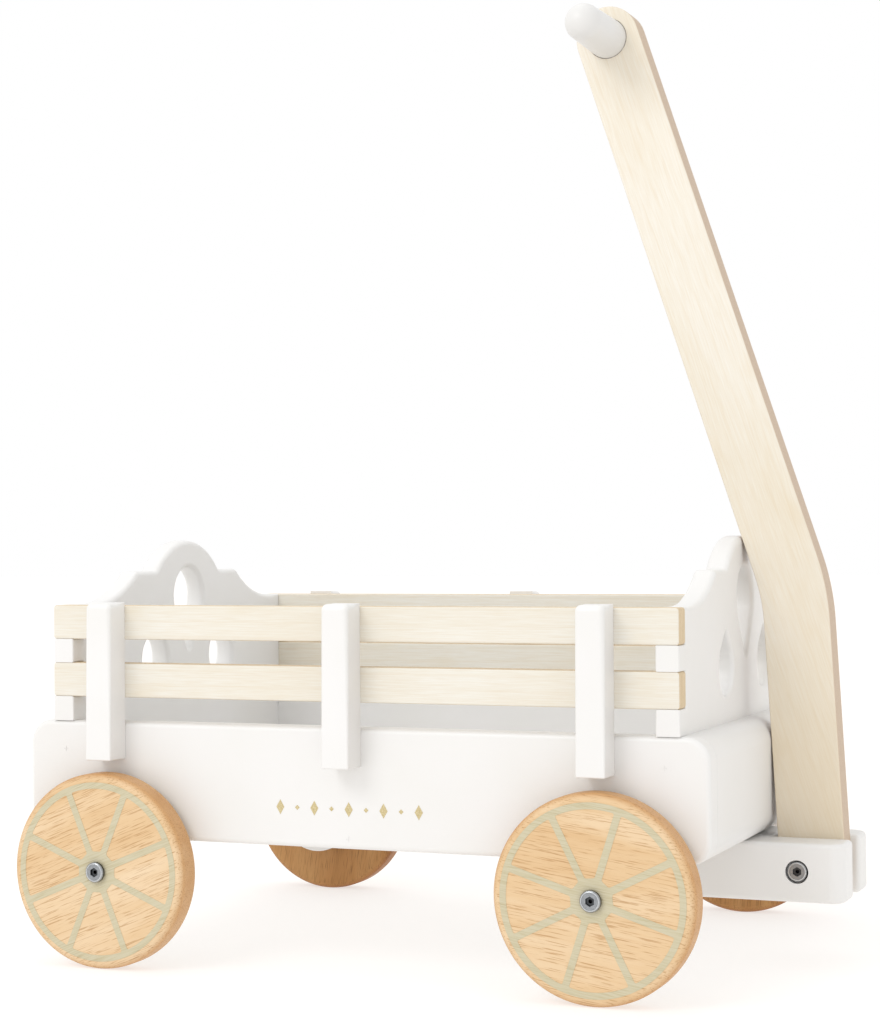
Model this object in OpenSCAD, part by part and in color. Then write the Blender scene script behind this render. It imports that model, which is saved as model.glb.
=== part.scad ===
// Push and pull along wooden wagon, upright handle at the front.
// Millimetres, +Z up, +X towards the handle end, Y across the tray.
// The ground is z = 0 and the axles are level with axle_z.

/* [Tray] */
// length of the side boards
body_l = 438; // [400:1:520]
// width over the two side boards
body_w = 298; // [250:1:360]
// height of the side boards
board_h = 71.4; // [62:0.2:84]
// thickness of the side boards
board_t = 15; // [12:0.5:17]
// underside of the side boards above the axles
board_rise = 17.6; // [14:0.2:24]
// corner rounding of the side boards and end blocks
corner_r = 14; // [6:0.5:16]
// thickness of the front and rear end blocks
end_block_t = 17; // [14:0.5:22]
// thickness of the floor panel
floor_t = 12; // [9:0.5:14]
// radius of the axle lugs under the side boards
lug_r = 28.8; // [26:0.2:36]

/* [Rails] */
// height of the rail slats
slat_h = 20.9; // [16:0.1:24]
// thickness of the rail slats
slat_t = 13; // [9:0.5:15]
// underside of the lower slat above the side board
slat_low_gap = 15.1; // [10:0.1:18]
// space between the two slats of one side
slat_gap = 14.7; // [10:0.1:18]
// width of the posts along the tray
post_w = 17.4; // [12:0.2:20]
// depth of the posts away from the rails
post_d = 18.4; // [12:0.2:20]
// distance between two posts of one side
post_pitch = 157.5; // [150:0.5:165]
// shift of the posts from the middle of the tray towards the handle
post_shift = -2; // [-4:0.5:4]
// further shift of the middle post towards the handle
post_mid_shift = 1.5; // [-4:0.5:4]
// gap between the wheels and the posts above them
post_gap = 7.4; // [4:0.2:12]
// rise of the posts above the rail top
post_rise = 1.9; // [0:0.1:4]
// rounding of the front edges of the post ends
post_r = 3; // [1:0.5:6]

/* [End boards] */
// thickness of the arched end boards
end_t = 14; // [10:0.5:16]
// rise of the shoulders above the rail top
shoulder_rise = 19.9; // [14:0.5:24]
// half width of the flat of the shoulders
shoulder_y = 67.7; // [62:0.5:72]
// rise of the arch above the shoulders
arch_rise = 20.2; // [14:0.2:24]
// half width of the arch where it meets the shoulders
arch_y = 43.5; // [34:0.5:50]
// bevel round the edges of the arch
arch_bevel = 3; // [2.8:0.1:4]
// radius of the round end of the middle cut-out
tear_mid_r = 19.5; // [12:0.5:21]
// length of the middle cut-out
tear_mid_l = 58; // [46:1:60]
// radius of the round end of the outer cut-outs
tear_side_r = 16.5; // [10:0.5:18]
// length of the outer cut-outs
tear_side_l = 40; // [36:1:46]
// distance of the outer cut-outs from the middle
tear_side_y = 46; // [44:0.5:56]

/* [Wheels] */
// wheel diameter
wheel_d = 118.2; // [110:0.2:126]
// wheel thickness
wheel_w = 19; // [14:0.5:24]
// distance between the front and rear axles
wheelbase = 315; // [300:1:330]
// gap between the side board and the wheel
wheel_gap = 4.5; // [3:0.5:8]
// rounding of the wheel rim edges
wheel_edge_r = 4.6; // [3:0.1:6]
// outer radius of the painted ring
ring_r = 54.2; // [48:0.2:54.8]
// width of the painted ring
ring_w = 3.9; // [3:0.1:8]
// width of the painted spokes
spoke_w = 4.1; // [3:0.1:7]
// radius of the painted hub disc
hub_r = 12.6; // [9:0.5:16]
// turn of the front wheels in degrees
front_turn = 27; // [0:0.5:45]
// turn of the rear wheels in degrees
rear_turn = 22.5; // [0:0.5:45]

/* [Handle] */
// width of the handle arm
arm_w = 40.8; // [30:0.2:44]
// thickness of the handle arm
arm_t = 18; // [14:0.5:20]
// lean of the lower part of the arm in degrees
arm_lean_low = 3.2; // [1:0.1:4]
// lean of the upper part of the arm in degrees
arm_lean_top = 18.4; // [12:0.1:22]
// height of the bend above the pivot
arm_bend_h = 164.9; // [150:0.1:176]
// bend radius of the arm centre line
arm_bend_r = 130; // [90:1:180]
// distance of the arm centre line ahead of the pivot
arm_ahead = 3.1; // [0:0.1:4]
// height of the grip axis above the pivot
grip_h = 514.5; // [420:1:560]
// diameter of the grip in the arm
grip_d = 25; // [18:0.5:28]
// diameter of the round grip ends
grip_end_d = 23; // [16:0.5:26]
// reach of the grip out of the right face of the arm
grip_reach = 58; // [48:1:70]
// height of the rounded grip end on the left face of the arm
grip_button = 3; // [2:0.5:6]

/* [Drawbar] */
// width of the drawbar block
fork_w = 76; // [60:1:90]
// height of the drawbar block
fork_h = 35.2; // [32:0.2:38]
// depth of the pivot below the top of the drawbar
pivot_drop = 17; // [15:0.2:20]
// front of the drawbar ahead of the pivot
fork_front = 28; // [24:0.5:34]
// length of the drawbar block behind the pivot
fork_back = 104; // [90:1:130]
// plan rounding of the two front corners
fork_r = 9.5; // [4:0.5:12]
// side clearance of the arm in the slot
slot_gap = 0.6; // [0.4:0.1:1.2]
// diameter of the pivot bolt shank
pivot_d = 8; // [6:0.5:10]

/* [Hidden] */
axle_z = wheel_d / 2;
board_z = axle_z + board_rise;
top_z = board_z + board_h;
half_l = body_l / 2;
half_w = body_w / 2;
in_y = half_w - board_t;
axle_x = wheelbase / 2;
floor_z = board_z + floor_t;
end_x = half_l - end_block_t;
slat1_z = top_z + slat_low_gap;
slat2_z = slat1_z + slat_h + slat_gap;
rail_z = slat2_z + slat_h;
slat_y = half_w - slat_t;
post_z = wheel_d + post_gap;
post_h = rail_z + post_rise - post_z;

// end board outline
shoulder_z = rail_z + shoulder_rise;
arch_z = shoulder_z + arch_rise;
arch_r = (arch_y * arch_y + arch_rise * arch_rise) / (2 * arch_rise);
arch_c = arch_z - arch_r;
nose_r = 5;
sweep_in = 9;
sweep_y = in_y - sweep_in;
nose_z = shoulder_z - nose_r;
sweep_run = sweep_y - shoulder_y;
nose_up = nose_z - rail_z;
sweep_r = (sweep_run * sweep_run + nose_up * nose_up - nose_r * nose_r)
    / (2 * (nose_up + nose_r));
sweep_z = rail_z + sweep_r;
nose_k = nose_r / (nose_r + sweep_r);
lap_z = nose_z + (sweep_z - nose_z) * nose_k;
tear_mid_up = 2;
tear_side_up = 17.5;
tear_mid_z = rail_z + tear_mid_up;
tear_side_z = slat1_z + tear_side_up;

// wheels and axle hardware
wheel_in = half_w + wheel_gap;
wheel_out = wheel_in + wheel_w;
paint_t = 0.6;
axle_d = 8;
axle_fit = 0.08;
head_gap = 0.4;
head_d = 12.4;
head_h = 2.5;
head_r = 0.9;
hex_w = 5;
hex_deep = 2;
nut_d = 15;
nut_h = 7;
nut_cap = 2;
spacer_d = 22;
spoke_n = 8;
facets = 96;

// drawbar and handle
fork_top = board_z;
pivot_z = fork_top - pivot_drop;
stop_gap = 0.4;
stop_z = top_z - corner_r;
arm_r = arm_w / 2;
knee_x = -arm_bend_h * tan(arm_lean_low);
knee_z = arm_bend_h;
rest_z = arch_z - arch_bevel - pivot_z - knee_z;
// the arm clears the end block low down and the arch higher up
block_x = half_l + stop_gap + (stop_z - pivot_z) * tan(arm_lean_low)
    + arm_r / cos(arm_lean_low);
arch_x = end_x + rest_z * tan(arm_lean_top) + (stop_gap + arm_r) / cos(arm_lean_top) - knee_x;
arm_x = max(block_x, arch_x);
pivot_x = arm_x - arm_ahead;
mid_x = (half_l - pivot_x - fork_front) / 2;
slot_y = arm_t / 2 + slot_gap;
slot_clear = 1.4;
slot_back = arm_r + slot_clear;
arm_foot = 1.5;
arm_cut = pivot_drop - arm_foot;
bend = arm_lean_top - arm_lean_low;
bend_t = arm_bend_r * tan(bend / 2);
s1_x = knee_x + bend_t * sin(arm_lean_low);
s1_z = knee_z - bend_t * cos(arm_lean_low);
c_x = s1_x - arm_bend_r * cos(arm_lean_low);
c_z = s1_z - arm_bend_r * sin(arm_lean_low);
s2_x = c_x + arm_bend_r * cos(arm_lean_top);
s2_z = c_z + arm_bend_r * sin(arm_lean_top);
grip_x = s2_x - (grip_h - s2_z) * tan(arm_lean_top);
low_l = sqrt(s1_x * s1_x + s1_z * s1_z);
top_l = (grip_h - s2_z) / cos(arm_lean_top);
pivot_fit = 0.06;
bolt_head_d = 12.2;
bolt_head_h = 4.5;
bolt_sink_d = 14;
bolt_sink = 5.2;

// screws
screw_d = 4;
screw_head = 8;
screw_sink = 2;
screw_l = 32;
cross_w = 1.2;
cross_l = 4.4;
cross_deep = 0.8;
side_screw_in = 9;
side_screw_x = end_x - side_screw_in;
side_screw_down = 17.5;
side_screw_z = top_z - side_screw_down;
fork_screw_in = 14;
fork_screw_dx = 28;
fork_screw_y = 22;
fork_screw_l = 36;

// everything is shifted so the origin is under the middle of the overall box
module placed() {
    translate([mid_x, 0, 0])
    children();
}

// rounded rectangle standing in XZ, extruded along Y from y0 to y1
module slab_xz(x0, x1, z0, z1, r, y0, y1) {
    translate([0, y1, 0])
    rotate([90, 0, 0])
    linear_extrude(height = y1 - y0)
    union() {
        translate([x0 + r, z0])
        square([x1 - x0 - 2 * r, z1 - z0]);
        translate([x0, z0 + r])
        square([x1 - x0, z1 - z0 - 2 * r]);
        for (x = [x0 + r, x1 - r])
            for (z = [z0 + r, z1 - r])
                translate([x, z])
                circle(r = r, $fn = facets);
    }
}

// cylinder along Y from y0 to y1
module rod_y(x, z, r, y0, y1) {
    translate([x, y1, z])
    rotate([90, 0, 0])
    cylinder(r = r, h = y1 - y0, $fn = facets);
}

// countersunk cross-head screw, head flush at the origin, shank along -Z
module screw(l) {
    difference() {
        union() {
            translate([0, 0, -screw_sink])
            cylinder(d1 = screw_d, d2 = screw_head, h = screw_sink, $fn = facets);
            translate([0, 0, -l])
            cylinder(d = screw_d, h = l - screw_sink, $fn = facets);
        }
        for (a = [0, 90])
            rotate([0, 0, a])
            translate([-cross_l / 2, -cross_w / 2, -cross_deep])
            cube([cross_l, cross_w, cross_deep + 1]);
    }
}

// the room a screw needs, cut from the boards
module screw_room(l) {
    translate([0, 0, -screw_sink])
    cylinder(d1 = screw_d, d2 = screw_head, h = screw_sink, $fn = facets);
    translate([0, 0, -l])
    cylinder(d = screw_d, h = l, $fn = facets);
    cylinder(d = screw_head, h = 1, $fn = facets);
}

// side of the wagon: s = -1 right, s = 1 left
module place_side_screws(s) {
    for (p = [[-side_screw_x, side_screw_z], [side_screw_x, side_screw_z],
            [0, board_z + floor_t / 2]])
        translate([p[0], s * half_w, p[1]])
        rotate([-s * 90, 0, 0])
        children();
}

module place_fork_screws() {
    for (i = [0, 1])
        for (y = [-fork_screw_y, fork_screw_y])
            translate([pivot_x - fork_back + fork_screw_in + i * fork_screw_dx, y, floor_z])
            children();
}

module side_board(s) {
    y0 = s > 0 ? in_y : -half_w;
    y1 = s > 0 ? half_w : -in_y;
    difference() {
        union() {
            slab_xz(-half_l, half_l, board_z, top_z, corner_r, y0, y1);
            for (x = [-axle_x, axle_x])
                rod_y(x, axle_z, lug_r, y0, y1);
        }
        for (x = [-axle_x, axle_x])
            rod_y(x, axle_z, axle_d / 2, y0 - 1, y1 + 1);
        place_side_screws(s)
            screw_room(screw_l);
    }
}

// block between the side boards: e = 1 front, e = -1 rear; its inner edges stay square
module end_block(e) {
    intersection() {
        slab_xz(-half_l, half_l, board_z, top_z, corner_r, -in_y, in_y);
        translate([e > 0 ? end_x : -half_l, -half_w, 0])
        cube([end_block_t, body_w, top_z + 1]);
    }
}

module floor_slab() {
    half = end_x - end_t;
    difference() {
        translate([-half, -in_y, board_z])
        cube([2 * half, 2 * in_y, floor_t]);
        place_fork_screws()
            screw_room(fork_screw_l);
        for (s = [-1, 1])
            place_side_screws(s)
            screw_room(screw_l);
    }
}

// teardrop in 2D: circle of radius r at the origin, tip at distance l - r
module tear(r, l) {
    d = l - r;
    a = asin(r / d);
    union() {
        circle(r = r, $fn = facets);
        polygon([[0, d], [r * cos(a), r * sin(a)], [-r * cos(a), r * sin(a)]]);
    }
}

module end_outline() {
    union() {
        translate([-in_y, board_z])
        square([2 * in_y, top_z - board_z]);
        translate([-half_w, top_z])
        square([body_w, slat1_z - top_z]);
        translate([-slat_y, slat1_z])
        square([2 * slat_y, rail_z - slat1_z]);
        translate([-half_w, slat1_z + slat_h])
        square([body_w, slat_gap]);
        translate([-shoulder_y, rail_z - 1])
        square([2 * shoulder_y, shoulder_rise + 1]);
        for (s = [-1, 1])
            translate([s * shoulder_y, nose_z])
            circle(r = nose_r, $fn = facets);
        difference() {
            translate([-sweep_y, rail_z - 1])
            square([2 * sweep_y, lap_z - rail_z + 1]);
            for (s = [-1, 1])
                translate([s * sweep_y, sweep_z])
                circle(r = sweep_r, $fn = facets);
        }
        intersection() {
            translate([0, arch_c])
            circle(r = arch_r, $fn = facets);
            translate([-arch_r, shoulder_z - 1])
            square([2 * arch_r, arch_rise + 2]);
        }
    }
}

// what is planed off the arch at one face of the board; +Z points into the board
module arch_edge() {
    cut = arch_bevel + 1;
    difference() {
        intersection() {
            translate([0, 0, -1])
            cylinder(r = arch_r + 1, h = cut, $fn = facets);
            translate([-arch_r - 1, shoulder_z - arch_c, -1])
            cube([2 * arch_r + 2, arch_r, cut]);
        }
        translate([0, 0, -1])
        cylinder(r1 = arch_r - cut, r2 = arch_r, h = cut, $fn = facets);
    }
}

module end_board(e) {
    x0 = e > 0 ? end_x - end_t : -end_x;
    difference() {
        translate([x0, 0, 0])
        rotate([90, 0, 90])
        linear_extrude(height = end_t)
        difference() {
            end_outline();
            translate([0, tear_mid_z])
            rotate([0, 0, 180])
            tear(tear_mid_r, tear_mid_l);
            for (s = [-1, 1])
                translate([s * tear_side_y, tear_side_z])
                tear(tear_side_r, tear_side_l);
        }
        translate([x0, 0, arch_c])
        rotate([90, 0, 90])
        arch_edge();
        translate([x0 + end_t, 0, arch_c])
        rotate([90, 0, -90])
        arch_edge();
        for (s = [-1, 1])
            place_side_screws(s)
            screw_room(screw_l);
    }
}

module slat(s, z) {
    translate([-end_x, s > 0 ? slat_y : -half_w, z])
    cube([2 * end_x, slat_t, slat_h]);
}

// post number i from the middle, its two outer edges rounded over
module post(i, s) {
    x = i * post_pitch + post_shift + (i == 0 ? post_mid_shift : 0);
    color("white")
    placed()
    translate([x - post_w / 2, 0, 0])
    rotate([90, 0, 90])
    linear_extrude(height = post_w)
    mirror([s > 0 ? 0 : 1, 0, 0])
    translate([half_w, post_z])
    union() {
        square([post_d - post_r, post_h]);
        translate([0, post_r])
        square([post_d, post_h - 2 * post_r]);
        for (z = [post_r, post_h - post_r])
            translate([post_d - post_r, z])
            circle(r = post_r, $fn = facets);
    }
}

// things on an axle: built for the left side, mirrored for the right
module at_axle(e, s) {
    translate([e * axle_x, 0, axle_z])
    mirror([0, s > 0 ? 0 : 1, 0])
    rotate([-90, 0, 0])
    children();
}

module wheel(e, s) {
    color("burlywood")
    placed()
    at_axle(e, s)
    translate([0, 0, wheel_in])
    rotate_extrude($fn = facets)
    difference() {
        union() {
            square([axle_z - wheel_edge_r, wheel_w]);
            translate([0, wheel_edge_r])
            square([axle_z, wheel_w - 2 * wheel_edge_r]);
            for (z = [wheel_edge_r, wheel_w - wheel_edge_r])
                translate([axle_z - wheel_edge_r, z])
                circle(r = wheel_edge_r, $fn = facets);
        }
        translate([-1, -1])
        square([1 + axle_d / 2 + axle_fit, wheel_w + 2]);
    }
}

module wheel_paint(e, s, turn) {
    bore = axle_d / 2 + axle_fit;
    color("darkkhaki")
    placed()
    at_axle(e, s)
    translate([0, 0, wheel_out])
    rotate([0, 0, -turn])
    linear_extrude(height = paint_t)
    difference() {
        union() {
            difference() {
                circle(r = ring_r, $fn = facets);
                circle(r = ring_r - ring_w, $fn = facets);
            }
            circle(r = hub_r, $fn = facets);
            for (i = [0:spoke_n - 1])
                rotate([0, 0, i * 360 / spoke_n])
                translate([hub_r - 1, -spoke_w / 2])
                square([ring_r - ring_w - hub_r + 2, spoke_w]);
        }
        circle(r = bore, $fn = facets);
    }
}

module axle_bolt(e, s) {
    z_head = wheel_out + paint_t + head_gap;
    color("silver")
    placed()
    at_axle(e, s)
    difference() {
        union() {
            translate([0, 0, in_y - nut_h + nut_cap])
            cylinder(d = axle_d, h = z_head - in_y + nut_h - nut_cap + 1, $fn = facets);
            translate([0, 0, z_head])
            rotate_extrude($fn = facets)
            union() {
                square([head_d / 2 - head_r, head_h]);
                square([head_d / 2, head_h - head_r]);
                translate([head_d / 2 - head_r, head_h - head_r])
                circle(r = head_r, $fn = 32);
            }
        }
        translate([0, 0, z_head + head_h - hex_deep])
        cylinder(d = hex_w / cos(30), h = hex_deep + 1, $fn = 6);
    }
}

module spacer(e, s) {
    color("silver")
    placed()
    at_axle(e, s)
    translate([0, 0, half_w])
    difference() {
        cylinder(d = spacer_d, h = wheel_gap - head_gap, $fn = facets);
        translate([0, 0, -1])
        cylinder(r = axle_d / 2, h = wheel_gap + 2, $fn = facets);
    }
}

module axle_nut(e, s) {
    color("silver")
    placed()
    at_axle(e, s)
    translate([0, 0, in_y - nut_h])
    difference() {
        cylinder(d = nut_d, h = nut_h, $fn = 6);
        translate([0, 0, nut_cap])
        cylinder(d = axle_d, h = nut_h, $fn = facets);
    }
}

module fork_body() {
    x0 = pivot_x - fork_back;
    x1 = pivot_x + fork_front;
    z0 = fork_top - fork_h;
    difference() {
        translate([0, 0, z0])
        linear_extrude(height = fork_h)
        union() {
            translate([x0, -fork_w / 2])
            square([x1 - fork_r - x0, fork_w]);
            translate([x1 - fork_r - 1, -fork_w / 2 + fork_r])
            square([fork_r + 1, fork_w - 2 * fork_r]);
            for (y = [-fork_w / 2 + fork_r, fork_w / 2 - fork_r])
                translate([x1 - fork_r, y])
                circle(r = fork_r, $fn = facets);
        }
        translate([pivot_x - slot_back, -slot_y, z0 - 1])
        cube([slot_back + fork_front + 1, 2 * slot_y, fork_h + 2]);
        rod_y(pivot_x, pivot_z, pivot_d / 2, -fork_w, fork_w);
        for (s = [-1, 1])
            rod_y(pivot_x, pivot_z, bolt_sink_d / 2,
                s > 0 ? fork_w / 2 - bolt_sink : -fork_w / 2 - 1,
                s > 0 ? fork_w / 2 + 1 : -fork_w / 2 + bolt_sink);
        place_fork_screws()
            screw_room(fork_screw_l);
    }
}

// bend of the arm: its lower end lies on the X axis, the bend centre at the origin
module arm_bend() {
    reach = arm_bend_r + arm_w;
    intersection() {
        difference() {
            circle(r = arm_bend_r + arm_r, $fn = 360);
            circle(r = arm_bend_r - arm_r, $fn = 360);
        }
        square([reach, reach]);
        rotate([0, 0, bend])
        translate([0, -reach])
        square([reach, reach]);
    }
}

// arm without its holes: foot, straight, bend and top in one chain of frames
module arm_blank() {
    rotate([0, 0, arm_lean_low])
    union() {
        circle(r = arm_r, $fn = facets);
        translate([-arm_r, 0])
        square([arm_w, low_l]);
        translate([-arm_bend_r, low_l])
        union() {
            arm_bend();
            rotate([0, 0, bend])
            translate([arm_bend_r, 0])
            union() {
                translate([-arm_r, 0])
                square([arm_w, top_l]);
                translate([0, top_l])
                circle(r = arm_r, $fn = facets);
            }
        }
    }
}

// drawn from the foot of the arm centre line, level with the pivot
module arm_outline() {
    difference() {
        arm_blank();
        translate([-arm_w, -arm_w - arm_cut])
        square([2 * arm_w, arm_w]);
        translate([-arm_ahead, 0])
        circle(r = pivot_d / 2 + pivot_fit, $fn = facets);
        translate([grip_x, grip_h])
        circle(d = grip_d, $fn = facets);
    }
}

module side_board_right() {
    color("white")
    placed()
    side_board(-1);
}

module side_board_left() {
    color("white")
    placed()
    side_board(1);
}

module front_end_block() {
    color("white")
    placed()
    end_block(1);
}

module rear_end_block() {
    color("white")
    placed()
    end_block(-1);
}

module floor_panel() {
    color("white")
    placed()
    floor_slab();
}

module end_board_front() {
    color("white")
    placed()
    end_board(1);
}

module end_board_rear() {
    color("white")
    placed()
    end_board(-1);
}

module slat_right_upper() {
    color("wheat")
    placed()
    slat(-1, slat2_z);
}

module slat_right_lower() {
    color("wheat")
    placed()
    slat(-1, slat1_z);
}

module slat_left_upper() {
    color("wheat")
    placed()
    slat(1, slat2_z);
}

module slat_left_lower() {
    color("wheat")
    placed()
    slat(1, slat1_z);
}

module post_right_front() {
    post(1, -1);
}

module post_right_middle() {
    post(0, -1);
}

module post_right_rear() {
    post(-1, -1);
}

module post_left_front() {
    post(1, 1);
}

module post_left_middle() {
    post(0, 1);
}

module post_left_rear() {
    post(-1, 1);
}

module wheel_front_right() {
    wheel(1, -1);
}

module wheel_front_left() {
    wheel(1, 1);
}

module wheel_rear_right() {
    wheel(-1, -1);
}

module wheel_rear_left() {
    wheel(-1, 1);
}

module wheel_paint_front_right() {
    wheel_paint(1, -1, front_turn);
}

module wheel_paint_front_left() {
    wheel_paint(1, 1, front_turn);
}

module wheel_paint_rear_right() {
    wheel_paint(-1, -1, rear_turn);
}

module wheel_paint_rear_left() {
    wheel_paint(-1, 1, rear_turn);
}

module axle_bolt_front_right() {
    axle_bolt(1, -1);
}

module axle_bolt_front_left() {
    axle_bolt(1, 1);
}

module axle_bolt_rear_right() {
    axle_bolt(-1, -1);
}

module axle_bolt_rear_left() {
    axle_bolt(-1, 1);
}

module spacer_front_right() {
    spacer(1, -1);
}

module spacer_front_left() {
    spacer(1, 1);
}

module spacer_rear_right() {
    spacer(-1, -1);
}

module spacer_rear_left() {
    spacer(-1, 1);
}

module axle_nut_front_right() {
    axle_nut(1, -1);
}

module axle_nut_front_left() {
    axle_nut(1, 1);
}

module axle_nut_rear_right() {
    axle_nut(-1, -1);
}

module axle_nut_rear_left() {
    axle_nut(-1, 1);
}

module drawbar_fork() {
    color("white")
    placed()
    fork_body();
}

module pivot_bolt() {
    y0 = -fork_w / 2 + bolt_sink;
    y1 = fork_w / 2 - bolt_sink;
    color("silver")
    placed()
    difference() {
        union() {
            rod_y(pivot_x, pivot_z, pivot_d / 2, y0 - 1, y1 + 2);
            rod_y(pivot_x, pivot_z, bolt_head_d / 2, y0 - bolt_head_h, y0);
        }
        translate([pivot_x, y0 - bolt_head_h + hex_deep, pivot_z])
        rotate([90, 0, 0])
        cylinder(d = hex_w / cos(30), h = hex_deep + 1, $fn = 6);
    }
}

module pivot_nut() {
    y1 = fork_w / 2 - bolt_sink;
    color("silver")
    placed()
    difference() {
        rod_y(pivot_x, pivot_z, bolt_head_d / 2, y1, y1 + bolt_head_h);
        rod_y(pivot_x, pivot_z, pivot_d / 2, y1 - 1, y1 + 2);
        translate([pivot_x, y1 + bolt_head_h + 1, pivot_z])
        rotate([90, 0, 0])
        cylinder(d = hex_w / cos(30), h = 1 + hex_deep / 2, $fn = 6);
    }
}

module handle_arm() {
    color("wheat")
    placed()
    translate([arm_x, arm_t / 2, pivot_z])
    rotate([90, 0, 0])
    linear_extrude(height = arm_t)
    arm_outline();
}

module grip_peg() {
    r = grip_end_d / 2;
    run = grip_reach - r;
    color("white")
    placed()
    translate([arm_x + grip_x, 0, pivot_z + grip_h])
    rotate([90, 0, 0])
    union() {
        translate([0, 0, -arm_t / 2])
        cylinder(d = grip_d, h = arm_t, $fn = facets);
        translate([0, 0, arm_t / 2])
        cylinder(d1 = grip_d, d2 = grip_end_d, h = run, $fn = facets);
        translate([0, 0, arm_t / 2 + run])
        sphere(r = r, $fn = facets);
        translate([0, 0, -arm_t / 2 - grip_button])
        rotate_extrude($fn = facets)
        union() {
            square([grip_d / 2 - grip_button, grip_button]);
            intersection() {
                translate([grip_d / 2 - grip_button, grip_button])
                circle(r = grip_button, $fn = facets);
                square([grip_d / 2, grip_button]);
            }
        }
    }
}

module side_screws_right() {
    color("white")
    placed()
    place_side_screws(-1)
        screw(screw_l);
}

module side_screws_left() {
    color("white")
    placed()
    place_side_screws(1)
        screw(screw_l);
}

module drawbar_screws() {
    color("silver")
    placed()
    place_fork_screws()
        screw(fork_screw_l);
}

side_board_right();
side_board_left();
front_end_block();
rear_end_block();
floor_panel();
end_board_front();
end_board_rear();
slat_right_upper();
slat_right_lower();
slat_left_upper();
slat_left_lower();
post_right_front();
post_right_middle();
post_right_rear();
post_left_front();
post_left_middle();
post_left_rear();
wheel_front_right();
wheel_front_left();
wheel_rear_right();
wheel_rear_left();
wheel_paint_front_right();
wheel_paint_front_left();
wheel_paint_rear_right();
wheel_paint_rear_left();
axle_bolt_front_right();
axle_bolt_front_left();
axle_bolt_rear_right();
axle_bolt_rear_left();
spacer_front_right();
spacer_front_left();
spacer_rear_right();
spacer_rear_left();
axle_nut_front_right();
axle_nut_front_left();
axle_nut_rear_right();
axle_nut_rear_left();
drawbar_fork();
pivot_bolt();
pivot_nut();
handle_arm();
grip_peg();
side_screws_right();
side_screws_left();
drawbar_screws();
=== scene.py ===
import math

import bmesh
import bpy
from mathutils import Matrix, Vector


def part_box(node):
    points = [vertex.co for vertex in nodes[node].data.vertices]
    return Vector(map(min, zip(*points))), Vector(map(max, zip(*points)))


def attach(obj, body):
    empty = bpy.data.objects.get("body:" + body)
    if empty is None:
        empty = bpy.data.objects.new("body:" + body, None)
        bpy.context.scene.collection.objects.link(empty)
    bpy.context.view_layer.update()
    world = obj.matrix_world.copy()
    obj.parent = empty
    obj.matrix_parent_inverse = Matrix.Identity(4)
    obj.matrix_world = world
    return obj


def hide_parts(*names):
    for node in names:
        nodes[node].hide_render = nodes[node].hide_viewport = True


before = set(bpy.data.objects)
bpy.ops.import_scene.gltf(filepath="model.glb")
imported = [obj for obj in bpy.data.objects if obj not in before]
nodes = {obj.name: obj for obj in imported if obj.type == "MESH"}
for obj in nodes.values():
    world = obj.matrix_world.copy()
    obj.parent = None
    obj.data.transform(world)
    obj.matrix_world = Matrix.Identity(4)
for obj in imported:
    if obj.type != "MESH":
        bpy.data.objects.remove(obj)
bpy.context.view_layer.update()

# %% [markdown]
# # A painted wooden wagon
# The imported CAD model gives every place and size, so this lesson only turns
# sharp CAD solids into boards with softened edges, turned wheels and a bent
# plywood handle, and gives each one the finish of the real thing.
# Lengths are metres; `MM` keeps the joiner's numbers readable.

MM = 0.001

# %% [markdown]
# ## Where things are
# The boxes of the CAD nodes give the axle line, the board faces, the pivot and
# the grip, and everything below is drawn from those few numbers.

# %% Main places
side_lo, side_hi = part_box("side_board_right")
left_lo, left_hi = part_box("side_board_left")
end_lo, end_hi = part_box("end_board_front")
block_lo, block_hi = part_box("front_end_block")
slat_lo, slat_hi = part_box("slat_right_upper")
low_lo, low_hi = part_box("slat_right_lower")
fork_lo, fork_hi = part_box("drawbar_fork")
bolt_lo, bolt_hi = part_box("pivot_bolt")
peg_lo, peg_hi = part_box("grip_peg")
arm_lo, arm_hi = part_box("handle_arm")
mid_x = (side_lo.x + side_hi.x) / 2
half_w = left_hi.y
board_t = side_hi.y - side_lo.y
board_z = block_lo.z
axle_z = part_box("wheel_front_right")[1].z / 2
top_z = block_hi.z
pivot = Vector(((bolt_lo.x + bolt_hi.x) / 2, 0, (bolt_lo.z + bolt_hi.z) / 2))
grip = Vector(((peg_lo.x + peg_hi.x) / 2, 0, (peg_lo.z + peg_hi.z) / 2))
print("pivot", pivot, "grip", grip)


def wheel_centre(corner):
    lo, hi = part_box("wheel_" + corner)
    return (lo + hi) / 2, lo, hi


CORNERS = ["front_right", "front_left", "rear_right", "rear_left"]

# %% [markdown]
# ## Camera
# A long lens at tray height, turned a little to the handle end, keeps the
# uprights upright. It is made first so that every later cell can be tried.

# %% Camera
view = bpy.data.cameras.new("studio_camera")
view.lens = 75.94
view.sensor_width = 36.0
camera = bpy.data.objects.new("studio_camera", view)
turn, tilt, roll = math.radians(22.34), math.radians(0.89), math.radians(-0.452)
ahead = Vector((-math.sin(turn) * math.cos(tilt), math.cos(turn) * math.cos(tilt), math.sin(tilt)))
level = Vector((math.cos(turn), math.sin(turn), 0))
over = level.cross(ahead)
right = level * math.cos(roll) + over * math.sin(roll)
up = over * math.cos(roll) - level * math.sin(roll)
spin_to = Matrix((right, up, -ahead)).transposed().to_4x4()
camera.matrix_world = Matrix.Translation((0.5332 + mid_x, -1.3015, axle_z + 0.1973)) @ spin_to
bpy.context.scene.collection.objects.link(camera)
bpy.context.scene.camera = camera
print("camera at", [round(v, 3) for v in camera.location])

# %% [markdown]
# ## Light and floor
# The wagon stands in a white studio. The sky fills every shadow, one softbox on
# the camera side makes the long side the brightest, and one overhead keeps the
# tray open. Only the soft contact shadows under the wheels show on the floor.

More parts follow.
